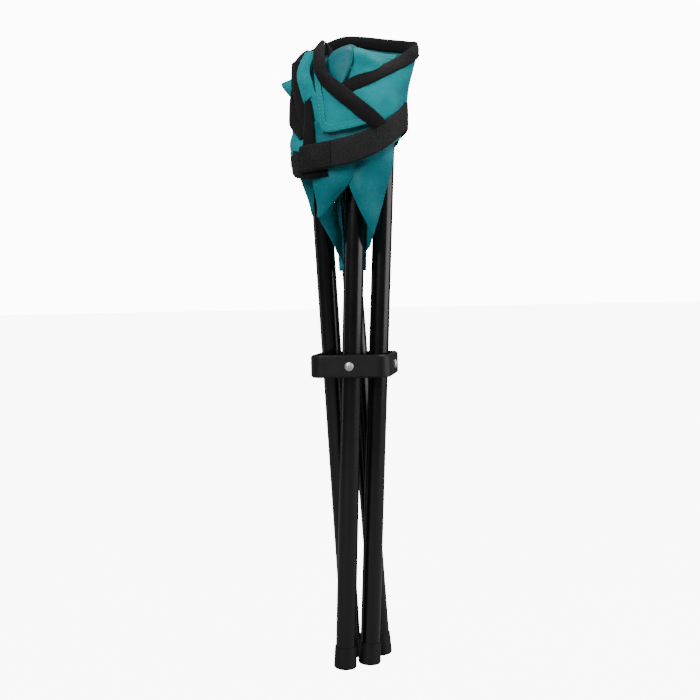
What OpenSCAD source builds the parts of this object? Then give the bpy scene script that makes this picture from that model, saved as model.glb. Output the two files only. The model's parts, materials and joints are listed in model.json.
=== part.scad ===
// Folding four-legged camp stool, shown folded and tied.
// Origin: on the ground, on the axis of the hub. +Z up, -Y is the front.
// The legs form a pinwheel: each one turns on a screw through one wall of the
// hub, and every leg is the front one turned by a quarter turn more.

/* [Legs] */
// Outer diameter of a leg tube
tube_od = 19; // [16:0.5:21]
// Wall of a leg tube
tube_wall = 1; // [0.8:0.1:1.5]
// Tube above its pivot screw
leg_up = 288; // [230:1:304]
// Tube below its pivot screw
leg_down = 287; // [230:1:350]

/* [Lean of the folded legs, in degrees] */
// Front leg, in its plane of swing
front_lean = 2.5; // [2:0.1:4]
// Right leg, in its plane of swing
right_lean = 1.5; // [1:0.1:3]
// Rear leg, in its plane of swing
rear_lean = 3.2; // [2:0.1:4]
// Left leg, in its plane of swing
left_lean = 2.6; // [2:0.1:4]
// Right leg, outwards at its top
right_splay = 2.7; // [0:0.1:3]
// Left leg, outwards at its top
left_splay = 2.1; // [0:0.1:3]

/* [Hub] */
// Width across the flat walls
hub_w = 77; // [74:1:90]
// Height of the band
hub_h = 21.5; // [16:0.5:26]
// Wall of the band
hub_wall = 3.2; // [2.4:0.1:4]
// Outer radius of its upright corners
hub_corner = 12; // [6:1:16]
// Chamfer round its upper and lower edges
hub_chamfer = 1.6; // [0.5:0.1:2.4]
// Distance of each leg's axis from the hub's axis
leg_offset = 22.5; // [21:0.5:26]

/* [Pivots] */
// Diameter of the pivot screw
screw_d = 4.9; // [4:0.1:6]
// Radial clearance of the bores that turn on the screw
bore_gap = 0.05; // [0.02:0.01:0.1]
// Diameter of the screw's pan head
head_d = 8.3; // [7.6:0.1:11]
// Height of the pan head
head_h = 2.6; // [2:0.1:3.5]
// Nut across its flats
nut_af = 8; // [7:0.1:9]
// Height of the nut
nut_h = 4.8; // [4:0.1:6]
// Diameter of the saddle washers beside the tube
saddle_d = 14; // [11:0.5:16]
// Thickness of the inner saddle at its thinnest
saddle_t = 1.8; // [1.2:0.1:3]
// Gap between a turning face and a still one
face_gap = 0.2; // [0.1:0.05:0.4]

/* [Feet and plugs] */
// Diameter of a foot cap at its sole
foot_d = 22; // [21.5:0.1:26]
// Diameter of a foot cap at its mouth
foot_mouth_d = 20.8; // [20.5:0.1:24]
// Height of a foot cap
foot_h = 21; // [15:1:30]
// Thickness of its sole
foot_sole = 4.5; // [3:0.5:8]
// Height of the plug's dome over the tube's end
plug_dome = 3; // [2:0.5:5]
// Depth of the plug in the tube
plug_depth = 14; // [8:1:20]

/* [Seat cloth, folded] */
// Width of the bundle
bundle_w = 124; // [112:1:140]
// Depth of the bundle
bundle_d = 104; // [92:1:120]
// Thickness of the folded layers on each side
bundle_wall = 5; // [3:0.5:7]
// Lowest tip of the bundle over the pivots
bundle_low = 106; // [90:1:120]
// Top of the bundle over the pivots
bundle_top = 310; // [306:1:400]
// Cloth of a corner pocket
pocket_t = 2; // [1:0.1:2.2]
// Length of a corner pocket down its tube
pocket_len = 42; // [30:1:60]
// Width of the strip that each half of a seat quarter gathers into
gather_w = 4; // [3:0.5:4.5]
// Thickness of that strip
gather_t = 3; // [2:0.5:4]

/* [Tie strap] */
// Width of the webbing
strap_w = 25; // [20:1:32]
// Thickness of the webbing
strap_t = 1.5; // [1:0.1:2.5]
// Its lower edge at the left side, over the pivots
strap_left = 185; // [160:1:195]
// How much higher it lies at the right side
strap_rise = 41; // [0:1:50]
// Length of the hook patch
hook_len = 32; // [20:1:45]

/* [Hidden] */
$fn = 64;

FRONT = 0;
RIGHT = 1;
REAR = 2;
LEFT = 3;
lean = [front_lean, right_lean, rear_lean, left_lean];
splay = [0, right_splay, 0, left_splay];

tube_r = tube_od / 2;
bore_r = tube_r - tube_wall;
screw_r = screw_d / 2;
hub_in = hub_w / 2 - hub_wall;
sole_edge = 2;                        // rounding round the sole
sole_r = foot_d / 2 - sole_edge;
foot_drop = leg_down + foot_sole;     // pivot to the sole, along the tube
// The pivots stand as high as the foot that reaches furthest down
function tilt(i) = acos(cos(lean[i]) * cos(splay[i]));
function reach_down(i) =
    (foot_drop - sole_edge) * cos(tilt(i)) + sole_r * sin(tilt(i)) + sole_edge;
pivot_z = max([for (i = [FRONT:LEFT]) reach_down(i)]);

nut_face = leg_offset - tube_r - saddle_t - face_gap;  // from the hub's axis
screw_tip = nut_face - nut_h - 0.6;
pocket_r = tube_r + pocket_t;
pocket_top = leg_up + plug_dome + pocket_t;
gather_in = pocket_r - tube_r + 0.3;  // from the tube to the gathered strip
gather_low = bundle_low - 6;
gather_high = leg_up - 7;
gather_gap = 0.4;
corner_in = bundle_d / 2 - bundle_wall;

black_enamel = "#17171a";
black_plastic = "#1c1c1e";
zinc = "#c9ccd0";
teal = "#22a0a2";
teal_dark = "#1c7f88";
webbing_black = "#232226";

// ---- places -------------------------------------------------------------

// The wall of the hub that leg i hangs on, seen as the front wall
module at_wall(i) {
    translate([0, 0, pivot_z]) rotate([0, 0, 90 * i]) children();
}

// The frame of leg i: its pivot at the origin and its tube along Z
module at_leg(i) {
    at_wall(i)
        translate([0, -leg_offset, 0])
            rotate([splay[i], 0, 0])
                rotate([0, lean[i], 0])
                    children();
}

// A rod along the pivot of leg i, between two distances from the hub's axis
module along_pivot(i, from, to, r) {
    at_wall(i)
        translate([0, -from, 0])
            rotate([90, 0, 0])
                cylinder(r = r, h = to - from);
}

module rounded_square(width, corner) {
    inset = width / 2 - corner;
    hull()
        for (x = [-inset, inset], y = [-inset, inset])
            translate([x, y]) circle(r = corner, $fn = 32);
}

// ---- hub ------------------------------------------------------------------

module hub_ring() {
    color(black_plastic)
    difference() {
        translate([0, 0, pivot_z]) hull() {
            translate([0, 0, -hub_h / 2 + hub_chamfer])
                linear_extrude(hub_h - 2 * hub_chamfer)
                    rounded_square(hub_w, hub_corner);
            translate([0, 0, -hub_h / 2])
                linear_extrude(hub_h)
                    rounded_square(hub_w - 2 * hub_chamfer, hub_corner - hub_chamfer);
        }
        translate([0, 0, pivot_z - hub_h])
            linear_extrude(2 * hub_h)
                rounded_square(2 * hub_in, hub_corner - hub_wall);
        for (i = [FRONT:LEFT])
            along_pivot(i, hub_in - 2, hub_w / 2 + 2, screw_r + bore_gap);
    }
}

module cross_recess() {
    depth = 1.5;
    arm = 0.52 * head_d;
    slot = 1.1;
    for (turn = [0, 90])
        rotate([0, 0, turn])
            translate([-arm / 2, -slot / 2, head_h - depth])
                cube([arm, slot, 2 * depth]);
}

module pivot_screw(i) {
    dome_r = (pow(head_d / 2, 2) + pow(0.6 * head_h, 2)) / (1.2 * head_h);
    color(zinc) {
        along_pivot(i, screw_tip, hub_w / 2, screw_r);
        at_wall(i)
            translate([0, -hub_w / 2, 0])
                rotate([90, 0, 0])
                    difference() {
                        intersection() {
                            cylinder(d = head_d, h = head_h);
                            translate([0, 0, head_h - dome_r])
                                sphere(r = dome_r, $fn = 96);
                        }
                        cross_recess();
                    }
    }
}

module pivot_nut(i) {
    color(zinc)
    at_wall(i)
        translate([0, -nut_face, 0])
            rotate([-90, 0, 0])
                difference() {
                    union() {
                        cylinder(d = nut_af / cos(30), h = 0.72 * nut_h, $fn = 6);
                        cylinder(d = 0.94 * nut_af, h = nut_h);
                    }
                    translate([0, 0, -1])
                        cylinder(r = screw_r + bore_gap, h = nut_h + 2);
                }
}

// ---- one leg --------------------------------------------------------------

module leg_tube(i) {
    color(black_enamel)
    difference() {
        at_leg(i)
            translate([0, 0, -leg_down])
                difference() {
                    cylinder(r = tube_r, h = leg_down + leg_up);
                    translate([0, 0, -1])
                        cylinder(r = bore_r, h = leg_down + leg_up + 2);
                }
        along_pivot(i, leg_offset - tube_od, leg_offset + tube_od, screw_r + bore_gap);
    }
}

// Two saddle washers, which keep the tube off the wall and off the nut
module saddles(i) {
    color(black_plastic)
    difference() {
        along_pivot(i, nut_face + face_gap, hub_in - face_gap, saddle_d / 2);
        at_leg(i)
            translate([0, 0, -saddle_d])
                cylinder(r = tube_r, h = 2 * saddle_d);
        along_pivot(i, 0, hub_w, screw_r + bore_gap);
    }
}

module foot_cap(i) {
    mouth = foot_h - foot_sole;
    color(black_plastic)
    at_leg(i)
        translate([0, 0, -leg_down])
            difference() {
                union() {
                    translate([0, 0, sole_edge - foot_sole])
                        cylinder(r1 = foot_d / 2, r2 = foot_mouth_d / 2,
                                 h = mouth + foot_sole - sole_edge, $fn = 96);
                    translate([0, 0, sole_edge - foot_sole])
                        rotate_extrude($fn = 96) {
                            translate([sole_r, 0])
                                intersection() {
                                    circle(r = sole_edge, $fn = 32);
                                    translate([0, -sole_edge])
                                        square([sole_edge, sole_edge]);
                                }
                            translate([0, -sole_edge]) square([sole_r, sole_edge]);
                        }
                }
                cylinder(r = tube_r, h = mouth + 1);
            }
}

module top_plug(i) {
    rim = 1;
    cap_r = tube_r - 0.4;
    dome = plug_dome - rim;
    dome_r = (cap_r * cap_r + dome * dome) / (2 * dome);
    color(black_plastic)
    at_leg(i)
        translate([0, 0, leg_up]) {
            translate([0, 0, -plug_depth]) cylinder(r = bore_r, h = plug_depth);
            cylinder(r = cap_r, h = rim);
            intersection() {
                translate([0, 0, plug_dome - dome_r]) sphere(r = dome_r, $fn = 96);
                translate([0, 0, rim]) cylinder(r = cap_r, h = plug_dome);
            }
        }
}

// ---- seat cloth -----------------------------------------------------------

// A closed sleeve of cloth over the end of the tube
module corner_pocket(i) {
    color(teal_dark)
    at_leg(i)
        difference() {
            translate([0, 0, pocket_top - pocket_len]) cylinder(r = pocket_r, h = pocket_len);
            translate([0, 0, pocket_top - pocket_len - 1])
                cylinder(r = tube_r, h = pocket_len + 1 - pocket_t);
        }
}

// Half of a seat quarter, gathered into a strip beside the tube
module gathered_strip(i, inner) {
    step = gather_w + gather_gap;
    at_leg(i)
        translate([-gather_t / 2, tube_r + gather_in + (inner ? step : 0), gather_low])
            cube([gather_t, gather_w, gather_high - gather_low]);
}

module seat_panel(i) {
    color(teal_dark) gathered_strip(i, false);
}

module seat_hem(i) {
    color(webbing_black) gathered_strip(i, true);
}

// The outer folded layers on one side: a panel whose lower edge comes to a tip
module seat_fold(i) {
    across = i % 2 == 0 ? bundle_w : 2 * corner_in;
    out = (i % 2 == 0 ? bundle_d : bundle_w) / 2;
    shoulder = bundle_low + 0.36 * (bundle_top - bundle_low);
    tip = 0.2 * across;
    color(teal)
    at_wall(i)
        translate([0, bundle_wall - out, 0])
            rotate([90, 0, 0])
                linear_extrude(bundle_wall)
                    polygon([
                        [-across / 2, bundle_top], [-across / 2, shoulder],
                        [-tip, bundle_low], [tip, bundle_low],
                        [across / 2, shoulder], [across / 2, bundle_top]
                    ]);
}

// ---- tie strap ------------------------------------------------------------

// The strap's side view, from x0 to x1, widened by grow along each edge
module strap_outline(x0, x1, grow = 0) {
    slope = strap_rise / bundle_w;
    function low(x) = strap_left + slope * (x + bundle_w / 2) - grow;
    polygon([
        [x0, low(x0)], [x1, low(x1)],
        [x1, low(x1) + strap_w + 2 * grow], [x0, low(x0) + strap_w + 2 * grow]
    ]);
}

module strap_webbing() {
    side = bundle_w / 2 + strap_t;
    color(webbing_black)
    translate([0, 0, pivot_z])
        rotate([90, 0, 0]) {
            for (y = [bundle_d / 2, -bundle_d / 2 - strap_t])
                translate([0, 0, y]) linear_extrude(strap_t) strap_outline(-side, side);
            for (x = [-side, side - strap_t])
                translate([0, 0, -bundle_d / 2 - strap_t / 2])
                    linear_extrude(bundle_d + strap_t)
                        strap_outline(x, x + strap_t);
        }
}

module strap_patch(x0, x1, drop) {
    color(webbing_black)
    translate([0, -bundle_d / 2 - strap_t, pivot_z - drop])
        rotate([90, 0, 0])
            linear_extrude(strap_t)
                strap_outline(x0, x1, -1);
}

module strap_hook_patch() {
    strap_patch(-bundle_w / 2 + 4, -bundle_w / 2 + 4 + hook_len, 0);
}

module strap_loop_patch() {
    strap_patch(-bundle_w / 2 + 4, -bundle_w / 2 + 4 + hook_len, strap_w);
}

// ---- parts ----------------------------------------------------------------

hub_ring();
pivot_screw(FRONT);  // pivot_screw_front
pivot_screw(RIGHT);  // pivot_screw_right
pivot_screw(REAR);  // pivot_screw_rear
pivot_screw(LEFT);  // pivot_screw_left
pivot_nut(FRONT);  // pivot_nut_front
pivot_nut(RIGHT);  // pivot_nut_right
pivot_nut(REAR);  // pivot_nut_rear
pivot_nut(LEFT);  // pivot_nut_left
leg_tube(FRONT);  // leg_tube_front
leg_tube(RIGHT);  // leg_tube_right
leg_tube(REAR);  // leg_tube_rear
leg_tube(LEFT);  // leg_tube_left
saddles(FRONT);  // saddles_front
saddles(RIGHT);  // saddles_right
saddles(REAR);  // saddles_rear
saddles(LEFT);  // saddles_left
foot_cap(FRONT);  // foot_cap_front
foot_cap(RIGHT);  // foot_cap_right
foot_cap(REAR);  // foot_cap_rear
foot_cap(LEFT);  // foot_cap_left
top_plug(FRONT);  // top_plug_front
top_plug(RIGHT);  // top_plug_right
top_plug(REAR);  // top_plug_rear
top_plug(LEFT);  // top_plug_left
corner_pocket(FRONT);  // corner_pocket_front
corner_pocket(RIGHT);  // corner_pocket_right
corner_pocket(REAR);  // corner_pocket_rear
corner_pocket(LEFT);  // corner_pocket_left
seat_panel(FRONT);  // seat_panel_front
seat_panel(RIGHT);  // seat_panel_right
seat_panel(REAR);  // seat_panel_rear
seat_panel(LEFT);  // seat_panel_left
seat_hem(FRONT);  // seat_hem_front
seat_hem(RIGHT);  // seat_hem_right
seat_hem(REAR);  // seat_hem_rear
seat_hem(LEFT);  // seat_hem_left
seat_fold(FRONT);  // seat_fold_front
seat_fold(RIGHT);  // seat_fold_right
seat_fold(REAR);  // seat_fold_rear
seat_fold(LEFT);  // seat_fold_left
strap_webbing();
strap_hook_patch();
strap_loop_patch();
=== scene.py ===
"""A folding camp stool, folded and tied: the looks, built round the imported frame."""
import json
import math

import bpy
import numpy as np
from mathutils import Matrix, Vector, noise


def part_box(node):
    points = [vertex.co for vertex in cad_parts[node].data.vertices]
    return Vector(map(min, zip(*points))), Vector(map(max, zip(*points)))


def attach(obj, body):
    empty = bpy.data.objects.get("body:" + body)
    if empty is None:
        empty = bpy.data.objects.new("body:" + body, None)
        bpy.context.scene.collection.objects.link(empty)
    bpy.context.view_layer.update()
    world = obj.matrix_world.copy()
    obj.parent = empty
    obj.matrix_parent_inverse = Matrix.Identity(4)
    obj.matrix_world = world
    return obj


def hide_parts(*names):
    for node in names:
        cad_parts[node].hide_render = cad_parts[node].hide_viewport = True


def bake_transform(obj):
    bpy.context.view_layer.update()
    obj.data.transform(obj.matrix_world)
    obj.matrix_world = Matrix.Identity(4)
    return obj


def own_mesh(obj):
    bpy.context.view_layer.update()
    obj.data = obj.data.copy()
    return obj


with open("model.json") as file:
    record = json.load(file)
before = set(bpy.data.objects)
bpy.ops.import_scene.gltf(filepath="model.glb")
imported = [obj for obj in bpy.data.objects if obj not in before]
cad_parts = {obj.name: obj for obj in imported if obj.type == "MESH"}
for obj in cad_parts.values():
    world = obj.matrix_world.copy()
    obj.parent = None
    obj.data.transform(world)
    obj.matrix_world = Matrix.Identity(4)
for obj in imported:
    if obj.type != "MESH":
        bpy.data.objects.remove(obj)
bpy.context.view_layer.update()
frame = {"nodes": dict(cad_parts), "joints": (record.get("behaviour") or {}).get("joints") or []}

MM = 0.001
SIDES = ("front", "right", "rear", "left")


# ---- places taken from the frame ------------------------------------------------

def joint_named(name):
    """The frame's record of one joint."""
    return next(j for j in frame["joints"] if j["name"] == name)


hub_low, hub_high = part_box("hub_ring")
HUB = (hub_low + hub_high) / 2
bpy.ops.object.select_all(action="DESELECT")


# ---- camera ------------------------------------------------------------------------

def make_camera():
    """The view from the front, a little from the right, level with the upper half."""
    yaw, rise, roll = math.radians(9.1), math.radians(2.8), math.radians(-1.26)
    distance, lens = 1.08, 57.3
    aside, above = -0.0052, 0.0136      # the hub's place from the middle of the view
    back = Vector((math.sin(yaw) * math.cos(rise),
                   -math.cos(yaw) * math.cos(rise), math.sin(rise)))
    level = Vector((math.cos(yaw), math.sin(yaw), 0))
    upright = back.cross(level)
    right = math.cos(roll) * level + math.sin(roll) * upright
    up = math.cos(roll) * upright - math.sin(roll) * level
    place = HUB + right * aside + up * above + back * distance
    bpy.ops.object.camera_add(location=place)
    camera = bpy.context.object
    turn = Matrix((right, up, back)).transposed()
    camera.rotation_euler = turn.to_euler()
    camera.data.lens = lens
    camera.data.sensor_width = 36       # mm, as the lens is
    camera.data.clip_start = 0.05
    bpy.context.scene.camera = camera


make_camera()


# ---- materials ---------------------------------------------------------------------

def colour(code):
    """An sRGB hex value as the linear colour that shaders take."""
    parts = [int(code[k:k + 2], 16) / 255 for k in (1, 3, 5)]
    return [p / 12.92 if p <= 0.04045 else ((p + 0.055) / 1.055) ** 2.4 for p in parts] + [1]


def add(tree, kind, feeds=(), **settings):
    """Adds one node: settings are its properties or its inputs' values, feeds are links."""
    made = tree.nodes.new("ShaderNode" + kind)
    for key, value in settings.items():
        if hasattr(made, key):
            setattr(made, key, value)
        else:
            made.inputs[key.replace("_", " ")].default_value = value
    for key, socket in dict(feeds).items():
        tree.links.new(socket, made.inputs[key])
    return made


def new_material(name, **surface):
    """A material with constants set on its shader's own sockets."""
    material = bpy.data.materials.new(name)
    material.use_nodes = True
    tree = material.node_tree
    shader = tree.nodes["Principled BSDF"]
    for key, value in surface.items():
        shader.inputs[key.replace("_", " ")].default_value = value
    return material, tree, shader


def tint(tree, shader, factor, low, high):
    """Colour that runs between two hex values with a factor."""
    ramp = add(tree, "ValToRGB", {"Fac": factor})
    ramp.color_ramp.elements[0].color = colour(low)
    ramp.color_ramp.elements[1].color = colour(high)
    tree.links.new(ramp.outputs[0], shader.inputs["Base Color"])
    return ramp


def bump(tree, shader, height, depth, under=None):
    """Relief of a depth in metres, laid over another one if there is one under it."""
    feeds = {"Height": height}
    if under:
        feeds["Normal"] = under.outputs[0]
    made = add(tree, "Bump", feeds, Strength=1.0, Distance=depth)
    tree.links.new(made.outputs[0], shader.inputs["Normal"])
    return made


def black_enamel():
    # Baked enamel on steel tube: a glossy black with the faint ripple of sprayed paint.
    material, tree, shader = new_material(
        "baked_enamel_black", Roughness=0.24, IOR=1.5, Coat_Weight=0.15, Coat_Roughness=0.12)
    place = add(tree, "TexCoord").outputs["Object"]
    ripple = add(tree, "TexNoise", {"Vector": place}, Scale=1 / 0.0016, Detail=2.0)
    dust = add(tree, "TexNoise", {"Vector": place}, Scale=1 / 0.03, Detail=6.0, Roughness=0.7)
    tint(tree, shader, dust.outputs[0], "#050506", "#0f0f11")
    spread = add(tree, "MapRange", {"Value": dust.outputs[0]}, To_Min=0.16, To_Max=0.3)
    tree.links.new(spread.outputs[0], shader.inputs["Roughness"])
    bump(tree, shader, ripple.outputs[0], 0.00003)
    return material


def moulded_plastic(name, low, high, roughness, grain):
    # Injection-moulded plastic: satin black with the fine spark-eroded grain of its mould.
    material, tree, shader = new_material(name, Roughness=roughness, IOR=1.49)
    place = add(tree, "TexCoord").outputs["Object"]
    fine = add(tree, "TexNoise", {"Vector": place}, Scale=1 / grain, Detail=3.0)
    broad = add(tree, "TexNoise", {"Vector": place}, Scale=1 / 0.012, Detail=4.0)
    tint(tree, shader, broad.outputs[0], low, high)
    spread = add(tree, "MapRange", {"Value": broad.outputs[0]},
                 To_Min=roughness - 0.06, To_Max=roughness + 0.08)
    tree.links.new(spread.outputs[0], shader.inputs["Roughness"])
    bump(tree, shader, fine.outputs[0], 0.00006)
    return material


def zinc_plate():
    # Zinc-plated steel: bright, a little blue, with turning marks and tumbled scuffs.
    material, tree, shader = new_material("zinc_plated_steel", Metallic=1.0, Roughness=0.4)
    place = add(tree, "TexCoord").outputs["Object"]
    scuffs = add(tree, "TexNoise", {"Vector": place}, Scale=1 / 0.0012, Detail=5.0)
    tint(tree, shader, scuffs.outputs[0], "#d3d5d8", "#f4f5f6")
    spread = add(tree, "MapRange", {"Value": scuffs.outputs[0]}, To_Min=0.34, To_Max=0.52)
    tree.links.new(spread.outputs[0], shader.inputs["Roughness"])
    bump(tree, shader, scuffs.outputs[0], 0.00004)
    return material


WAVE_REPEAT = math.tau / 20         # what a wave texture of scale 1 repeats over


def woven(name, low, high, thread, depth, roughness, sheen, skew=0.0):
    """Cloth or tape: threads crossing over and under, drawn along its own UV, in metres."""
    material, tree, shader = new_material(
        name, Roughness=roughness, Sheen_Weight=sheen, Sheen_Roughness=0.4, IOR=1.45)
    shader.inputs["Specular IOR Level"].default_value = 0.22
    across = add(tree, "Mapping", {"Vector": add(tree, "TexCoord").outputs["UV"]},
                 Rotation=(0, 0, math.radians(skew)))
    warp, weft = [add(tree, "TexWave", {"Vector": across.outputs[0]}, bands_direction=way,
                      Scale=WAVE_REPEAT / thread, Distortion=0.35, Detail=1.0) for way in "XY"]
    cross = add(tree, "Math", operation="MULTIPLY")
    tree.links.new(warp.outputs[1], cross.inputs[0])
    tree.links.new(weft.outputs[1], cross.inputs[1])
    place = add(tree, "TexCoord").outputs["Object"]
    slub = add(tree, "TexNoise", {"Vector": place}, Scale=1 / 0.02, Detail=5.0, Roughness=0.6)
    shade = add(tree, "Math", operation="ADD")
    slub_part = add(tree, "Math", {0: slub.outputs[0]}, operation="MULTIPLY")
    slub_part.inputs[1].default_value = 0.55
    thread_part = add(tree, "Math", {0: cross.outputs[0]}, operation="MULTIPLY")
    thread_part.inputs[1].default_value = 0.5
    tree.links.new(slub_part.outputs[0], shade.inputs[0])
    tree.links.new(thread_part.outputs[0], shade.inputs[1])
    ramp = tint(tree, shader, shade.outputs[0], low, high)
    ramp.color_ramp.elements[0].position = 0.15
    ramp.color_ramp.elements[1].position = 0.75
    crumple = add(tree, "TexNoise", {"Vector": place}, Scale=1 / 0.016, Detail=3.0)
    soft = bump(tree, shader, crumple.outputs[0], 0.0012)
    bump(tree, shader, cross.outputs[0], depth, under=soft)
    return material


ENAMEL = black_enamel()
HUB_PLASTIC = moulded_plastic("polypropylene_satin_black", "#050506", "#0e0e10", 0.4, 0.0005)
FOOT_RUBBER = moulded_plastic("moulded_rubber_black", "#030304", "#0a0a0b", 0.5, 0.0004)
ZINC = zinc_plate()
# Polyester oxford, outer face: bright teal with a fine rib. Its thread is about 0.45 mm. It
# is drawn twice as coarse to show, and even so it is faint.
OXFORD = woven("oxford_polyester_teal", "#067f89", "#16b0b6", 0.0009, 0.00025, 0.7, 0.06, 35)
# The same cloth's coated face: smoother and darker, with a soft shine on its creases.
COATED = woven("coated_polyester_teal", "#0b6570", "#1e8791", 0.0006, 0.00006, 0.4, 0.04)
# Edge tape: matt black, finely ribbed every 0.8 mm.
TAPE = woven("grosgrain_tape_black", "#080809", "#19181a", 0.0008, 0.0002, 0.75, 0.06)
# Polypropylene webbing: black, with a 1.6 mm basket of flat yarns and a dull shine.
WEBBING = woven("polypropylene_webbing_black", "#121213", "#2a2a2c", 0.0016, 0.0003, 0.55, 0.05)
# Hook tape: rows of stiff nylon hooks 1.8 mm apart.
HOOKS = woven("nylon_hook_tape_black", "#070708", "#343437", 0.0018, 0.0008, 0.5, 0.0, 45)
# Loop tape: brushed nylon, dull and furry.
LOOPS = woven("brushed_loop_tape_black", "#060607", "#151517", 0.0007, 0.0004, 0.95, 0.08, 20)
# Sewing thread in the cloth's colour, twisted every 0.8 mm.
THREAD = woven("polyester_thread_teal", "#2a9c9c", "#5fd0cc", 0.0008, 0.0001, 0.6, 0.3, 30)

CAD_FINISHES = {
    "hub_ring": HUB_PLASTIC, "saddles": HUB_PLASTIC, "top_plug": HUB_PLASTIC,
    "pivot_screw": ZINC, "pivot_nut": ZINC, "leg_tube": ENAMEL, "foot_cap": FOOT_RUBBER,
    "corner_pocket": COATED, "seat_panel": COATED, "seat_fold": OXFORD, "seat_hem": TAPE,
    "strap_webbing": WEBBING, "strap_hook": HOOKS, "strap_loop": LOOPS,
}


def finish_cad_nodes():
    """Gives every CAD node its material."""
    for name, node in frame["nodes"].items():
        finish = next(m for key, m in CAD_FINISHES.items() if name.startswith(key))
        node.data.materials.clear()
        node.data.materials.append(finish)


finish_cad_nodes()


# ---- sheets of cloth ---------------------------------------------------------------

def through(points, count):
    """count points, evenly spaced, on a smooth curve through the given ones."""
    p = np.array(points, float)
    p = np.vstack([2 * p[0] - p[1], p, 2 * p[-1] - p[-2]])
    fine = []
    for k in range(1, len(p) - 2):
        for t in np.linspace(0, 1, 16, endpoint=False):
            a, b, c, d = p[k - 1:k + 3]
            fine.append(0.5 * (2 * b + (c - a) * t + (2 * a - 5 * b + 4 * c - d) * t ** 2
                               + (3 * b - a - 3 * c + d) * t ** 3))
    fine = np.array(fine + [p[-2]])
    run = np.r_[0, np.cumsum(np.linalg.norm(np.diff(fine, axis=0), axis=1))]
    at = np.linspace(0, run[-1], count)
    return np.stack([np.interp(at, run, fine[:, k]) for k in range(3)], axis=1)


def grid_through(rows, across, along):
    """A grid of points: each row smoothed to across points, then the rows to along."""
    smooth = np.array([through(row, across) for row in rows])
    return np.array([through(smooth[:, k], along) for k in range(across)]).transpose(1, 0, 2)


def mesh_from_grid(name, grid, closed=False):
    """A mesh of quads over a grid in metres, with a UV map in metres of cloth."""
    count_v, count_u = grid.shape[:2]
    last = count_u if closed else count_u - 1
    faces = [(r * count_u + k, (r + 1) * count_u + k,
              (r + 1) * count_u + (k + 1) % count_u, r * count_u + (k + 1) % count_u)
             for r in range(count_v - 1) for k in range(last)]
    mesh = bpy.data.meshes.new(name)
    mesh.from_pydata(grid.reshape(-1, 3).tolist(), [], faces)
    along_u = np.linalg.norm(np.roll(grid, -1, axis=1) - grid, axis=2).mean(0)
    along_v = np.linalg.norm(np.diff(grid, axis=0), axis=2).mean(1)
    u, v = np.r_[0, np.cumsum(along_u)], np.r_[0, np.cumsum(along_v)]
    uv = mesh.uv_layers.new(name="cloth")
    corners = []
    for r in range(count_v - 1):
        for k in range(last):
            corners += [(u[k], -v[r]), (u[k], -v[r + 1]), (u[k + 1], -v[r + 1]), (u[k + 1], -v[r])]
    uv.data.foreach_set("uv", np.array(corners).ravel())
    piece = bpy.data.objects.new(name, mesh)
    bpy.context.scene.collection.objects.link(piece)
    return piece


def apply_modifiers(piece):
    """Applies what modifiers a piece has, and shades it smooth."""
    bpy.ops.object.select_all(action="DESELECT")
    bpy.context.view_layer.objects.active = piece
    piece.select_set(True)
    for modifier in list(piece.modifiers):
        bpy.ops.object.modifier_apply(modifier=modifier.name)
    bpy.ops.object.shade_smooth()
    bpy.ops.object.select_all(action="DESELECT")


def wrinkle(grid, depth, size, seed):
    """Pushes a grid along its normals by smooth noise."""
    du = np.gradient(grid, axis=1)
    dv = np.gradient(grid, axis=0)
    normal = np.cross(dv, du)
    normal /= np.maximum(np.linalg.norm(normal, axis=2, keepdims=True), 1e-9)
    push = np.array([[noise.noise(Vector(p) / size + Vector((seed, seed * 0.7, 0))) for p in row]
                     for row in grid])
    return grid + normal * (push * depth)[..., None]


def thicken(piece, thick):
    """Gives a sheet its thickness, with the second material on its back."""
    solid = piece.modifiers.new("cloth", "SOLIDIFY")
    solid.thickness = thick * MM
    solid.offset = 0
    solid.material_offset = 1
    apply_modifiers(piece)


def sheet(name, rows, finish, back=None, thick=0.8, across=40, along=24,
          crumple=(0.0, 20.0), seed=1.0):
    """Cloth through rows of places in mm, its first material away from the bundle's axis."""
    grid = grid_through(rows, across, along)
    middle = grid[len(grid) // 2, grid.shape[1] // 2]
    down, right = np.gradient(grid, axis=0), np.gradient(grid, axis=1)
    facing = np.cross(down, right).sum((0, 1))
    if facing @ (middle * (1, 1, 0)) < 0:
        grid = grid[:, ::-1]
    if crumple[0]:
        grid = wrinkle(grid, crumple[0], crumple[1], seed)
    piece = mesh_from_grid(name, grid * MM)
    piece.data.materials.append(finish)
    piece.data.materials.append(back or finish)
    thicken(piece, thick)
    return piece


# ---- the seat when it is open ------------------------------------------------------
# At rest each quarter of the seat is gathered into a narrow strip beside its leg, inside
# the bundle. Each place is found on the open seat, drawn in to that strip and carried back.

GATHER = 8 * MM             # width of the gathered strip
BOW = 0.09                  # how far the seat's edges curve in, as a share of the way out
HALVINGS = 48               # steps that find a place across it
LAYER_TOP = 1.7 * MM        # the seat's top face over its middle surface
ROOM_DEPTH = 1.5 * MM       # room under the seat's middle for the folded cloth
ROOM_END = 0.40             # how far out that room starts to close, as a share
ROOM_TAPER = 0.25           # and over how much of the way it closes
EDGE_TAPE = 11 * MM         # width of the edge tape


def opened(joint):
    """The move that a hinge makes from rest to the end of its travel."""
    place = Vector(joint["pos_m"])
    turn = Matrix.Rotation(math.radians(joint["range_deg"][1]), 4, Vector(joint["axis"]))
    return Matrix.Translation(place) @ turn @ Matrix.Translation(-place)


def smooth_step(t):
    """Rises from 0 to 1, level at both ends."""
    t = min(max(t, 0.0), 1.0)
    return t * t * (3 - 2 * t)


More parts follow.
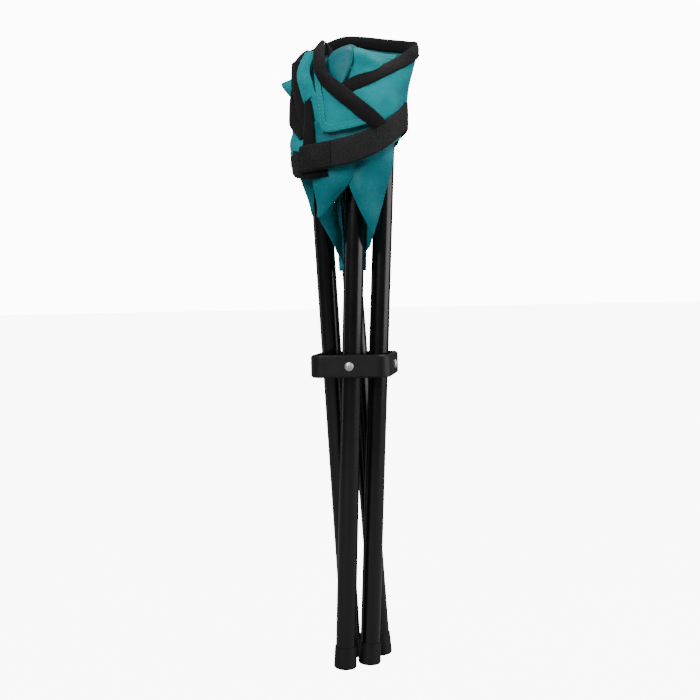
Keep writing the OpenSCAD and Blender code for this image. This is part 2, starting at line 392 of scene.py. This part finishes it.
class Quarter:
    """The seat between one corner and the next, with its place open and gathered."""

    def __init__(self, side):
        after = SIDES[(SIDES.index(side) + 1) % 4]
        leg, after_leg = joint_named(f"leg_{side}_fold"), joint_named(f"leg_{after}_fold")
        panel, after_panel = joint_named(f"panel_{side}_turn"), joint_named(f"panel_{after}_turn")
        spread = joint_named(f"hem_{side}_spread")
        self.side = side
        self.open = opened(leg) @ opened(panel)
        self.closed = self.open.inverted()
        self.way = (self.open.to_3x3() @ Vector(spread["axis"])).normalized()
        self.spread = spread["range_m"][1]
        self.reach = self.spread + GATHER
        corner = opened(leg) @ Vector(panel["pos_m"])
        far = opened(after_leg) @ Vector(after_panel["pos_m"])
        self.centre = far - self.way * self.reach
        self.near, self.far = corner - self.centre, far - self.centre
        self.sag = self.near.z
        flat_near = Vector((self.near.x, self.near.y, 0)).normalized()
        self.sideways = Vector((-flat_near.y, flat_near.x, 0))

    def gathered(self, length):
        """Where on the gathered strip a point lies that spreads out to this length."""
        low, high = 0.0, GATHER
        for _ in range(HALVINGS):
            middle = (low + high) / 2
            if middle + self.spread * smooth_step(middle / GATHER) < length:
                low = middle
            else:
                high = middle
        return (low + high) / 2

    def point(self, out, share, lift):
        """out: 0 at the seat's middle, 1 at its edge. share: 0 at this corner, 1 at the next."""
        straight = out * (1 - BOW * 4 * share * (1 - share))
        to_near, to_far = straight * (1 - share), straight * share
        height = self.sag * (straight * straight - straight)
        place = self.centre + self.near * to_near + self.far * to_far
        place.z += height + lift
        length = to_far * self.reach
        drawn_in = place - self.way * (length - self.gathered(length))
        return self.closed @ drawn_in, (place.x, place.y)

    def blend(self, piece):
        """Bakes the piece's transform into its mesh."""
        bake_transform(piece)


def slab(name, top, under, top_uv, finish, back):
    """A closed sheet between two grids of points, the top one seen from outside."""
    rows, columns = len(top), len(top[0])
    count = rows * columns
    faces = []

    def index(r, k):
        return r * columns + k

    def quad(a, b, c, d, slot_index):
        faces.append(((a, b, c, d), slot_index))

    for r in range(rows - 1):
        for k in range(columns - 1):
            a, b, c, d = index(r, k), index(r + 1, k), index(r + 1, k + 1), index(r, k + 1)
            quad(a, b, c, d, 0)
            quad(count + d, count + c, count + b, count + a, 1)
    for k in range(columns - 1):
        for r in (0, rows - 1):
            a, b = index(r, k), index(r, k + 1)
            a, b = (b, a) if r == 0 else (a, b)
            quad(a, count + a, count + b, b, 0)
    for r in range(rows - 1):
        for k in (0, columns - 1):
            a, b = index(r, k), index(r + 1, k)
            a, b = (a, b) if k == 0 else (b, a)
            quad(a, count + a, count + b, b, 0)
    flat_top = [p for row in top for p in row]
    flat_under = [p for row in under for p in row]
    mesh = bpy.data.meshes.new(name)
    mesh.from_pydata([tuple(p) for p in flat_top + flat_under], [], [f for f, _ in faces])
    mesh.polygons.foreach_set("material_index", [s for _, s in faces])
    flat_uv = [p for row in top_uv for p in row] * 2
    uv = mesh.uv_layers.new(name="cloth")
    uv.data.foreach_set("uv", np.array([flat_uv[v] for f, _ in faces for v in f]).ravel())
    mesh.materials.append(finish)
    mesh.materials.append(back)
    piece = bpy.data.objects.new(name, mesh)
    bpy.context.scene.collection.objects.link(piece)
    apply_modifiers(piece)
    return piece


def quarter_piece(quarter, name, outs, tops, unders, columns, finish, back):
    """A slab of one quarter, from lists of how far out and how high its faces lie."""
    shares = [k / (columns - 1) for k in range(columns)]
    top = [[quarter.point(o, s, h) for s in shares] for o, h in zip(outs, tops)]
    under = [[quarter.point(o, s, h)[0] for s in shares] for o, h in zip(outs, unders)]
    piece = slab(name, [[p for p, _ in row] for row in top], under,
                 [[uv for _, uv in row] for row in top], finish, back)
    quarter.blend(piece)
    return piece


def make_open_seat():
    """Four quarters of cloth, each with its run of edge tape."""
    rows, columns = 22, 26
    for side in SIDES:
        quarter = Quarter(side)
        outs = [0.002 + 0.993 * r / (rows - 1) for r in range(rows)]
        # The under face leaves room for the folded cloth in the middle, then closes up.
        closing = [smooth_step((o - ROOM_END) / ROOM_TAPER) for o in outs]
        unders = [(1 - m) * (-ROOM_DEPTH - quarter.sag * o * o) + m * 0.3 * MM
                  for o, m in zip(outs, closing)]
        tops = [min(0.8 * MM + 0.01 * o, LAYER_TOP) for o in outs]
        unders = [max(u, -0.8 * MM - 0.01 * o) for u, o in zip(unders, outs)]
        seat = quarter_piece(quarter, f"seat_quarter_{side}", outs, tops, unders,
                             columns, OXFORD, COATED)
        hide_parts(f"seat_panel_{side}")
        half_edge = (quarter.near + quarter.far).length / 2
        width = EDGE_TAPE / half_edge
        edge = [1 - width, 1 - 0.85 * width, 1 - 0.4 * width, 1.0, 1.008]
        tape = quarter_piece(quarter, f"seat_edge_tape_{side}", edge,
                             [h * MM for h in (1.9, 2.4, 2.6, 2.3, 1.6)],
                             [h * MM for h in (0.1, -0.3, -0.5, -0.2, 0.5)], columns, TAPE, TAPE)
        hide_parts(f"seat_hem_{side}")


make_open_seat()


# ---- the folded bundle --------------------------------------------------------------
# These pieces are the cloth as it lies when the stool is folded, fixed to the hub.
# Places are in mm.


def around(places, angle):
    """A value that runs round the bundle, softened a little, from values at some angles."""
    angles, values = zip(*places)
    near = [np.interp((angle + shift) % 360, angles, values, period=360)
            for shift in (-8, -4, 0, 4, 8)]
    return float(np.mean(near))


# Angles are in degrees from the right side, turning by the rear to the left and the front.
TOP_EDGE = [(0, 591), (8, 594), (29, 600), (43, 604), (58, 607), (67, 609), (82, 613), (92, 614),
            (104, 614), (120, 609), (134, 603), (158, 593), (180, 580), (195, 566), (215, 556),
            (240, 546), (270, 544), (300, 548), (330, 566), (350, 584)]
LOW_EDGE = [(0, 506), (30, 506), (48, 500), (62, 472), (72, 432), (82, 406), (90, 398), (98, 404),
            (108, 432), (118, 460), (130, 472), (150, 476), (170, 466), (182, 449), (190, 437),
            (198, 450), (206, 474), (240, 482), (300, 484), (340, 500)]
RIGHT_WIDTH = [(396, 36), (480, 42), (500, 45), (512, 49), (540, 54), (558, 58), (580, 63),
               (600, 65), (614, 65)]
LEFT_WIDTH = [(396, 33), (436, 37), (449, 39), (461, 42), (474, 47), (490, 51), (504, 53),
              (523, 53), (547, 52), (580, 51), (603, 49), (614, 47)]
REAR_DEPTH = [(396, 37), (440, 41), (480, 44), (500, 46), (540, 45), (575, 42), (614, 41)]
FRONT_DEPTH = [(396, 36), (480, 38), (500, 39), (540, 38), (575, 36), (614, 36)]
SQUARENESS = 2.5            # 2 is an ellipse, and more is squarer


def bundle_point(angle, height, out=0.0):
    """A place on the bundle's wall, pleated in two sets, or a little way out from it."""
    turn = math.radians(angle)
    c, s = math.cos(turn), math.sin(turn)
    wide = np.interp(height, *zip(*(RIGHT_WIDTH if c > 0 else LEFT_WIDTH))) + out
    deep = np.interp(height, *zip(*(REAR_DEPTH if s > 0 else FRONT_DEPTH))) + out
    pleat = 1.1 * math.sin(5 * turn + 0.02 * height) + 0.7 * math.sin(9 * turn + 1.3)
    far = (abs(c) ** SQUARENESS + abs(s) ** SQUARENESS) ** (-1 / SQUARENESS)
    return ((wide + pleat) * far * c, (deep + pleat) * far * s, height)


def press(piece, hide=()):
    """Fixes a finished piece of the bundle to the hub, and hides the frame's nodes it stands in
    for.
    """
    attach(piece, "hub")
    for node in hide:
        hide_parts(node)
    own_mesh(piece)
    return piece


def bundle_shell():
    """The wall of cloth that goes all round the bundle, with its long points below."""
    columns, rows = 200, 56
    grid = np.empty((rows, columns, 3))
    for k in range(columns):
        angle = 360 * k / columns
        top, low = around(TOP_EDGE, angle), around(LOW_EDGE, angle)
        for r in range(rows):
            grid[r, k] = bundle_point(angle, top + (low - top) * r / (rows - 1))
    grid = wrinkle(grid, depth=1.6, size=24.0, seed=3.0)
    piece = mesh_from_grid("seat_cloth_outer", grid * MM, closed=True)
    piece.data.materials.append(OXFORD)
    piece.data.materials.append(COATED)
    thicken(piece, 0.8)
    press(piece, hide=[f"seat_fold_{s}" for s in SIDES])


# Across the rim's tape: how far each line of it lies below the edge, and how far out.
RIM_PROFILE = [(10.5, -2.0), (4, -2.4), (-1.2, 0), (4, 2.4), (10.5, 2.0)]


def rim_tape():
    """Edge tape folded over the bundle's upper edge, from its right corner by the rear."""
    rows = [[bundle_point(angle, around(TOP_EDGE, angle) - drop, out)
             for angle in range(4, 206, 5)] for drop, out in RIM_PROFILE]
    piece = sheet("rim_edge_tape", rows, TAPE, thick=1.2, across=150, along=14)
    press(piece)


def tape(name, left, right, proud, flat, thick=1.5, material=TAPE,
         slot_name="binding_tape", across=60):
    """A tape between its two edges, rounded a little towards the outside."""
    middle = [tuple((a + b) / 2 for a, b in zip(p, q)) for p, q in zip(left, right)]
    raised = [(x, y - proud, z) for x, y, z in middle]
    piece = sheet(name, [left, raised, right], material, thick=thick, across=across, along=9)
    return press(piece)


def front_cloth():
    """The folds across the bundle's front and left, above the strap and behind it."""
    right = sheet("seat_cloth_right", [
        [(-7, -44, 549), (6, -43, 551), (18, -39, 556), (31, -31, 562), (45, -23, 570),
         (56, -14, 577), (65, -5, 582)],
        [(-8, -47, 535), (10, -49, 538), (28, -45, 542), (43, -36, 548), (53, -26, 556),
         (61, -12, 564)],
        [(-8, -49, 518), (10, -52, 520), (28, -50, 523), (40, -43, 528), (50, -32, 536),
         (55, -16, 547)],
        [(-8, -46, 506), (10, -48, 506), (25, -48, 504), (36, -44, 504), (45, -34, 510),
         (50, -20, 520)],
    ], OXFORD, COATED, across=70, along=50, crumple=(1.6, 17), seed=2.2)
    press(right)
    pocket = sheet("seat_corner_fold", [
        [(-20, -32, 578), (-19, -38, 568), (-14, -46, 556), (-3, -50, 541), (12, -53, 527),
         (27, -54, 515)],
        [(-23, -36, 570), (-22, -41, 560), (-16, -50, 546), (-6, -54, 530), (9, -56, 521),
         (26, -55.5, 514.5)],
        [(-25, -43, 561), (-23.5, -46, 551), (-20.5, -49, 533), (-17, -53, 510), (3, -56, 510),
         (25, -56.5, 514)],
    ], OXFORD, COATED, across=60, along=36, crumple=(1.0, 15), seed=4.1)
    press(pocket)
    tape("corner_fold_hem",
         [(-25.5, -45, 563), (-24, -48.5, 549), (-21, -51.5, 531), (-17, -54.5, 509),
          (4, -57.5, 509), (26, -57.5, 513.5)],
         [(-20, -46, 562), (-18.5, -49.5, 549), (-15.5, -52.5, 534), (-12.5, -55, 516),
          (4, -57, 516), (26, -57, 519.5)],
         proud=0.2, thick=0.7, flat=(95, 7), material=OXFORD, slot_name="woven_cloth")
    strip = sheet("seat_cloth_left_fold", [
        [(-38, -22, 587), (-32, -27, 588), (-27, -28, 586)],
        [(-44, -27, 571), (-38, -32, 571), (-32, -33, 569)],
        [(-43, -32, 556), (-36, -38, 557), (-28, -40, 556)],
        [(-37, -36, 537), (-31, -42, 541), (-25, -44, 545)],
    ], OXFORD, COATED, across=24, along=44, crumple=(1.0, 12), seed=6.0)
    press(strip)
    tuck = sheet("left_fold_tuck", [
        [(-33, -37, 539), (-28, -43, 543), (-24, -45, 546)],
        [(-31, -39, 528), (-26, -44, 532), (-22, -47, 535)],
        [(-27, -42, 516), (-22, -47, 518), (-18, -50, 520)],
        [(-20, -48, 506), (-18, -50, 507), (-16, -51, 508)],
    ], OXFORD, COATED, across=20, along=30, crumple=(0.8, 9), seed=7.0)
    press(tuck)
    lower = sheet("seat_cloth_under_fold", [
        [(-36, -40, 520), (-20, -49, 518), (2, -52, 517), (24, -51, 518), (34, -45, 518)],
        [(-38, -40, 500), (-20, -49, 499), (2, -52, 498), (24, -51, 500), (36, -44, 501)],
        [(-38, -40, 480), (-20, -48, 480), (2, -51, 479), (24, -50, 482), (35, -43, 486)],
    ], COATED, OXFORD, across=50, along=30, crumple=(1.2, 16), seed=8.0)
    press(lower)
    sliver = sheet("seat_cloth_left_corner", [
        [(-50, 0, 571), (-58, -1, 567), (-66, -2, 564)],
        [(-50, -3, 560), (-58, -4, 559), (-65, -3, 560)],
        [(-50, 0, 547), (-57, -1, 550), (-61, 0, 555)],
    ], OXFORD, COATED, across=16, along=18, crumple=(0.6, 8), seed=9.0)
    press(sliver)
    low = sheet("seat_cloth_left_tuck", [
        [(-53, -10, 518), (-47, -23, 514), (-40, -32, 510)],
        [(-56, -15, 504), (-49, -29, 502), (-39, -39, 498)],
        [(-54, -19, 491), (-49, -31, 489.5), (-42, -42, 488)],
    ], OXFORD, COATED, across=24, along=24, crumple=(0.8, 10), seed=10.0)
    press(low)


def stitches(name, line, step=3.3):
    """A row of sewn stitches along a line of places in mm."""
    run = float(np.linalg.norm(np.diff(np.array(line, float), axis=0), axis=1).sum())
    places = through(line, round(run / step))
    made = []
    for k in range(1, len(places) - 1):
        along = Vector(places[k + 1] - places[k - 1]).normalized()
        bpy.ops.mesh.primitive_uv_sphere_add(segments=8, ring_count=6, radius=0.35 * MM,
                                             location=Vector(places[k]) * MM)
        stitch = bpy.context.object
        stitch.rotation_euler = along.to_track_quat("X", "Z").to_euler()
        stitch.scale = (3.2, 1, 0.8)
        made.append(stitch)
    for stitch in made:
        stitch.select_set(True)
    bpy.context.view_layer.objects.active = made[0]
    bpy.ops.object.join()
    bpy.ops.object.transform_apply(location=True, rotation=True, scale=True)
    piece = bpy.context.object
    piece.name = name
    piece.data.materials.append(THREAD)
    apply_modifiers(piece)
    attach(piece, "hub")
    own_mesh(piece)


def seams():
    """The rows of stitching along the folded hems."""
    stitches("corner_fold_stitches_outer",
             [(-24.5, -46, 562), (-23, -49.5, 549), (-20, -52.7, 531), (-15.8, -55.7, 511),
              (4, -58.1, 511), (26, -58.2, 515)])
    stitches("corner_fold_stitches_inner",
             [(-20.7, -46.5, 562), (-19.3, -50.2, 549), (-16.5, -53.2, 534), (-13, -55.8, 514.5),
              (4, -57.9, 514.5), (26, -57.9, 518)])
    stitches("left_fold_stitches",
             [(-42, -33.5, 562), (-36, -39, 562), (-30, -41, 561.5)])
    stitches("hood_stitches", [(5, -43.6, 566), (9, -42.8, 567), (13, -42.2, 568)])


def front_tapes():
    """The runs of edge tape that cross the bundle's front and left."""
    tape("edge_tape_right",
         [(56, 18, 601), (65, 8, 598), (61, -3, 591), (50, -10, 582), (40, -18, 575),
          (30, -28, 569), (19, -37, 563), (7, -43, 557), (-5, -46, 550)],
         [(60, 14, 590), (67, 0, 584), (65, -10, 577), (56, -19, 570), (45, -28, 563),
          (33, -36, 556), (20, -43, 549), (7, -47, 542), (-4, -48, 538)],
         proud=1.6, flat=(118, 14))
    tape("edge_tape_left",
         [(-23, -16, 599), (-28, -27, 589), (-27, -38, 576), (-24, -47, 562), (-17, -50, 550),
          (-6, -54, 539), (6, -56, 529), (18, -57.5, 518), (31, -57, 508)],
         [(-21, -15, 599), (-18, -28, 588), (-16, -40, 575), (-12, -46, 563), (0, -50, 552),
          (14, -54, 540), (26, -56.5, 530), (36, -56, 521), (42, -54.5, 514)],
         proud=1.6, flat=(115, 15), across=80)
    tape("edge_tape_left_back",
         [(-22, -14, 599), (-19, -14, 596), (-17, -18, 584), (-16, -28, 574)],
         [(-21, -10, 599), (-15, -9, 592), (-12, -12, 584), (-11, -18, 575)],
         proud=0.6, flat=(26, 7), across=24)
    tape("edge_tape_far_left",
         [(-54, -6, 581), (-53.5, -12, 568), (-52, -18, 555), (-49, -24, 543), (-45, -30, 530),
          (-41, -34, 519), (-38, -38, 508)],
         [(-45, -16, 582), (-45, -22, 566), (-41, -28, 554), (-37, -34, 543), (-34, -38, 533),
          (-31, -41, 522), (-28, -43, 511)],
         proud=1.6, flat=(92, 12))
    tape("edge_tape_far_left_top",
         [(-46, 18, 597), (-51, 8, 589), (-54, -2, 580), (-54, -10, 568)],
         [(-40, 8, 596), (-45, 2, 592), (-46, -8, 584), (-47, -16, 572)],
         proud=1.4, flat=(40, 12), across=40)
    tape("edge_tape_cross_lower",
         [(-54, -10, 556), (-55.5, -12, 545), (-56, -14, 533), (-55.5, -16, 521), (-49, -26, 513),
          (-42, -34, 504)],
         [(-53, -16, 553), (-51, -21, 543), (-47, -27, 533), (-43, -32, 524), (-40, -36, 515),
          (-38, -38, 507)],
         proud=1.4, flat=(58, 11))
    tape("edge_tape_tail",
         [(-36, -37, 540), (-36, -40, 524), (-37, -42, 510), (-38, -44, 493)],
         [(-29, -41, 539), (-27, -45, 524), (-26, -48, 510), (-25, -49, 493)],
         proud=0.8, flat=(46, 9), across=30)


def inner_folds():
    """The front corner, drawn up over the top of its leg inside the bundle."""
    # Painted shade: the left lobe shows the cloth's darker coated face outward, standing for the
    # shade inside the bundle.
    lobe = sheet("corner_hood_left", [
        [(-23, -2, 583), (-15, 0, 591), (-5, 2, 596), (2, 1, 598), (7.5, -2, 595), (9, -3, 592)],
        [(-23, -16, 572), (-17, -22, 580), (-8, -30, 585), (0, -35, 586), (8, -38, 586),
         (10, -37, 584)],
        [(-23, -26, 563), (-17, -32, 567), (-9, -38, 570), (-1, -41, 571), (7, -42.5, 572),
         (9, -41, 571)],
        [(-22, -31, 552), (-16, -36, 552), (-10, -39, 552), (-5, -42, 552), (-1, -44, 552),
         (0, -43, 552)],
    ], COATED, OXFORD, across=56, along=40, crumple=(0.9, 13), seed=11.0)
    press(lobe)
    flat_fold = sheet("corner_hood_right", [
        [(0, 4, 595), (8, 5, 595), (20, 12, 592), (32, 18, 591), (44, 22, 590)],
        [(0, -28, 585), (8, -34.5, 585), (18, -35, 583), (30, -26, 578), (43, -2, 577)],
        [(0, -36, 570), (8, -38, 570), (18, -37.5, 568), (31, -30, 566), (44, -12, 566)],
        [(0, -39, 550), (8, -41, 550), (18, -41, 550), (31, -33, 552), (44, -18, 556)],
    ], OXFORD, COATED, across=60, along=40, crumple=(0.7, 14), seed=11.5)
    press(flat_fold)
    back_fold = sheet("seat_cloth_inner_fold", [
        [(-30, 26, 588), (-30, 18, 572), (-28, 8, 552)],
        [(-16, 24, 594), (-18, 16, 576), (-16, 4, 552)],
        [(4, 30, 597), (2, 22, 578), (4, 6, 552)],
        [(26, 28, 592), (28, 18, 576), (28, 4, 554)],
        [(48, 22, 588), (48, 14, 574), (48, 2, 556)],
    ], COATED, OXFORD, across=36, along=60, crumple=(1.4, 16), seed=12.0)
    press(back_fold)


def hanging_flaps():
    """The coated face of the seat's edges, hanging in points below the strap."""
    left = sheet("seat_flap_left", [
        [(-34, -46, 487), (-18, -52, 489), (2, -53, 490), (19, -51, 493)],
        [(-30, -45, 472), (-16, -52, 474), (2, -52, 475), (15, -50, 479)],
        [(-29, -44, 458), (-20, -49, 459), (-6, -50, 460), (5, -47, 461)],
        [(-27, -43, 444), (-22, -46, 444), (-16, -46, 445), (-9, -44, 446)],
        [(-26, -41, 432), (-25.3, -42, 431), (-24.6, -42, 431), (-24, -41, 431)],
    ], COATED, OXFORD, across=50, along=60, crumple=(2.4, 20), seed=13.0)
    press(left)
    left_inner = sheet("seat_flap_left_inner", [
        [(8, -45, 488), (-12, -36, 488), (-26, -26, 488)],
        [(6, -45, 468), (-8, -34, 468), (-20, -22, 468)],
        [(-7, -42, 450), (-12, -31, 448), (-14, -18, 446)],
        [(-22, -41, 435), (-14, -27, 424), (-9, -13, 416)],
        [(-25, -40, 430), (-15, -24, 407), (-8, -12, 388)],
    ], COATED, COATED, across=40, along=40, crumple=(1.2, 16), seed=14.0)
    press(left_inner)
    sliver = sheet("seat_flap_far_left", [
        [(-47, -24, 474), (-39, -28, 475), (-31, -29, 475)],
        [(-43, -20, 461), (-38, -23, 461), (-32, -25, 461)],
        [(-39, -17, 448), (-36, -19, 447), (-33, -21, 447)],
        [(-36.5, -15, 436), (-36, -16, 435.5), (-35.5, -16, 436)],
    ], COATED, COATED, across=16, along=30, crumple=(0.5, 12), seed=17.0)
    press(sliver)
    right = sheet("seat_flap_right", [
        [(14, -49, 494), (26, -49, 496), (38, -43, 499), (46.5, -36, 503)],
        [(6, -48, 476), (20, -50, 478), (34, -45, 480), (45, -38, 481)],
        [(5, -46, 461), (15, -49, 462), (29, -45, 463), (40.5, -38, 464)],
        [(10.5, -45, 445), (18, -47, 445), (26, -44, 445), (35.5, -38, 445)],
        [(18, -42, 429), (22, -43, 429), (26, -42, 429), (30.5, -38.5, 429)],
        [(24.4, -38.5, 414), (25, -39, 413.7), (25.6, -38.8, 413.7), (26, -38, 414)],
    ], COATED, OXFORD, across=50, along=64, crumple=(2.0, 20), seed=15.0)
    press(right)
    right_inner = sheet("seat_flap_right_inner", [
        [(12, -6, 500), (24, -18, 500), (38, -34, 500)],
        [(11, -8, 472), (21, -22, 474), (32, -39, 476)],
        [(10, -8, 450), (19, -22, 452), (24, -42, 454)],
        [(10, -8, 430), (20, -24, 431), (23, -40, 431)],
        [(10, -8, 412), (20, -24, 414), (25, -37.5, 418)],
        [(9, -8, 396), (19, -23, 403), (24.5, -37.8, 413)],
    ], COATED, COATED, across=30, along=30, crumple=(0.8, 14), seed=16.0)
    press(right_inner)


# The strap's route, in mm: once round the bundle from the front, and over its own start.
STRAP_ROUTE = [(-13, -53, 480), (-28, -50, 479), (-41, -42, 480), (-49, -29, 483.5),
               (-55.5, -7, 493), (-60, 10, 499), (-53, 32, 504), (-34, 46, 508), (0, 51, 514),
               (34, 45, 520), (49, 27, 526), (55, 5, 528), (55, -12, 525), (51, -29, 517),
               (42, -43.5, 507), (29, -54.5, 498), (15, -58.5, 492), (2, -59.5, 489),
               (-13, -58, 486.5), (-29, -53.5, 485), (-40, -47.5, 484)]
STRAP_STEPS = 160
STRAP_WIDTH = 25            # mm


def strap_run(name, first, last, finish, node, width, thick, out=0.0):
    """A stretch of the strap between two shares of its length."""
    line = through(STRAP_ROUTE, STRAP_STEPS + 1)
    line = line[round(first * STRAP_STEPS):round(last * STRAP_STEPS) + 1]
    away = line * (1, 1, 0)
    away /= np.linalg.norm(away, axis=1, keepdims=True)
    line = line + away * out
    rows = [line + np.array((0, 0, lift * width)) - away * sink
            for lift, sink in ((0.5, 0.3), (0.25, 0), (-0.25, 0), (-0.5, 0.3))]
    piece = sheet(name, rows, finish, thick=thick, across=len(line) * 2, along=12)
    return press(piece, hide=[node])


def tie_strap():
    """The webbing, with hook tape near its outer end and loop tape along its inner one."""
    strap_run("tie_strap", 0.0, 1.0, WEBBING, "strap_webbing", STRAP_WIDTH, 1.3)
    strap_run("strap_hook_tape", 0.92, 0.998, HOOKS, "strap_hook_patch",
              STRAP_WIDTH - 2, 1.0, out=1.0)
    strap_run("strap_loop_tape", 0.0, 0.16, LOOPS, "strap_loop_patch",
              STRAP_WIDTH - 1, 1.2, out=1.2)


bundle_shell()
rim_tape()
front_cloth()
front_tapes()
seams()
inner_folds()
hanging_flaps()
tie_strap()


# ---- corner pockets -----------------------------------------------------------------

POCKET_TIP_DROP = 0.0008    # m, how far the cloth's tip lies under the CAD pocket's
POCKET_PLEATS = 6
POCKET_COLUMNS = 48
# Down the pocket from its tip: its radius and how far down, both in mm.
POCKET_PROFILE = [(0.2, 0.0), (5, 0.1), (9, 0.9), (11.0, 2.6), (11.4, 6), (11.1, 14), (11.3, 24),
                  (11.0, 34), (11.5, 40), (11.2, 42)]


def corner_pocket(side):
    """A boot of cloth over the end of a leg, pinched a little round the tube."""
    low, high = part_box(f"top_plug_{side}")
    pivot = Vector(joint_named(f"leg_{side}_fold")["pos_m"])
    top = (low + high) / 2
    axis = (top - pivot).normalized()
    pocket_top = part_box(f"corner_pocket_{side}")[1].z
    tip = pivot + axis * ((pocket_top - pivot.z) / axis.z - POCKET_TIP_DROP)
    aside = axis.orthogonal().normalized()
    ahead = axis.cross(aside)
    smooth = through([(r, d, 0) for r, d in POCKET_PROFILE], 40)
    grid = np.empty((len(smooth), POCKET_COLUMNS, 3))
    for r, (radius, drop, _) in enumerate(smooth):
        for k in range(POCKET_COLUMNS):
            turn = math.tau * k / POCKET_COLUMNS
            pleat = 0.35 * math.sin(POCKET_PLEATS * turn + drop * 0.2) * min(drop / 12, 1)
            across = aside * math.cos(turn) + ahead * math.sin(turn)
            grid[r, k] = tip - axis * drop * MM + across * (radius + min(pleat, 0.3)) * MM
    piece = mesh_from_grid(f"corner_pocket_cloth_{side}", grid, closed=True)
    piece.data.materials.append(OXFORD)
    piece.data.materials.append(COATED)
    bpy.ops.object.select_all(action="DESELECT")
    bpy.context.view_layer.objects.active = piece
    piece.select_set(True)
    bpy.ops.object.mode_set(mode="EDIT")
    bpy.ops.mesh.select_all(action="DESELECT")
    bpy.ops.object.mode_set(mode="OBJECT")
    for k in range(POCKET_COLUMNS):
        piece.data.vertices[k].select = True
    bpy.ops.object.mode_set(mode="EDIT")
    # The first ring closes to one point, so the tip has no hole.
    bpy.ops.mesh.merge(type="CENTER")
    bpy.ops.object.mode_set(mode="OBJECT")
    thicken(piece, 0.6)
    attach(piece, f"leg_{side}")
    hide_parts(f"corner_pocket_{side}")


for each_side in SIDES:
    corner_pocket(each_side)


# ---- floor and light ------------------------------------------------------------------

def make_floor():
    """A wide floor in mid-grey paint that also glows, but only where the camera looks."""
    bpy.ops.mesh.primitive_plane_add(size=60, location=(0, 0, 0))
    floor = bpy.context.object
    floor.name = "floor"
    # Matt paint. The glow makes it look pale, and adds no light to the stool.
    material, tree, shader = new_material("painted_floor_grey", Roughness=0.9)
    shader.inputs["Emission Color"].default_value = (1, 1, 1, 1)
    seen = add(tree, "LightPath").outputs["Is Camera Ray"]
    glow = add(tree, "MapRange", {"Value": seen}, To_Min=0.0, To_Max=9.0)
    tree.links.new(glow.outputs[0], shader.inputs["Emission Strength"])
    place = add(tree, "TexCoord").outputs["Object"]
    clouds = add(tree, "TexNoise", {"Vector": place}, Scale=3.0)
    tint(tree, shader, clouds.outputs[0], "#8e8e8e", "#949494")
    floor.data.materials.append(material)


def make_light(name, place, size, power):
    """A softbox, aimed at the hub."""
    bpy.ops.object.light_add(type="AREA", location=place)
    lamp = bpy.context.object
    lamp.name = name
    lamp.data.shape = "RECTANGLE"
    lamp.data.size, lamp.data.size_y = size
    lamp.data.energy = power
    lamp.rotation_euler = (HUB - Vector(place)).to_track_quat("-Z", "Y").to_euler()


def make_world():
    """Bright where the camera sees it, dimmer as a light, so the shapes keep their shading."""
    world = bpy.data.worlds.new("studio")
    world.use_nodes = True
    tree = world.node_tree
    seen = add(tree, "LightPath").outputs["Is Camera Ray"]
    strength = add(tree, "MapRange", {"Value": seen}, To_Min=0.14, To_Max=12.0)
    background = tree.nodes["Background"]
    background.inputs["Color"].default_value = (1, 1, 1, 1)
    tree.links.new(strength.outputs[0], background.inputs["Strength"])
    bpy.context.scene.world = world


make_floor()
make_world()
make_light("key_softbox", (-0.7, -1.7, 1.5), (0.9, 1.2), 36)
make_light("right_softbox", (1.6, -0.1, 0.95), (1.8, 1.7), 25)
make_light("left_strip", (-1.8, 0.4, 0.7), (0.3, 1.6), 2)
make_light("top_softbox", (0.1, 0.3, 1.9), (1.2, 1.2), 14)
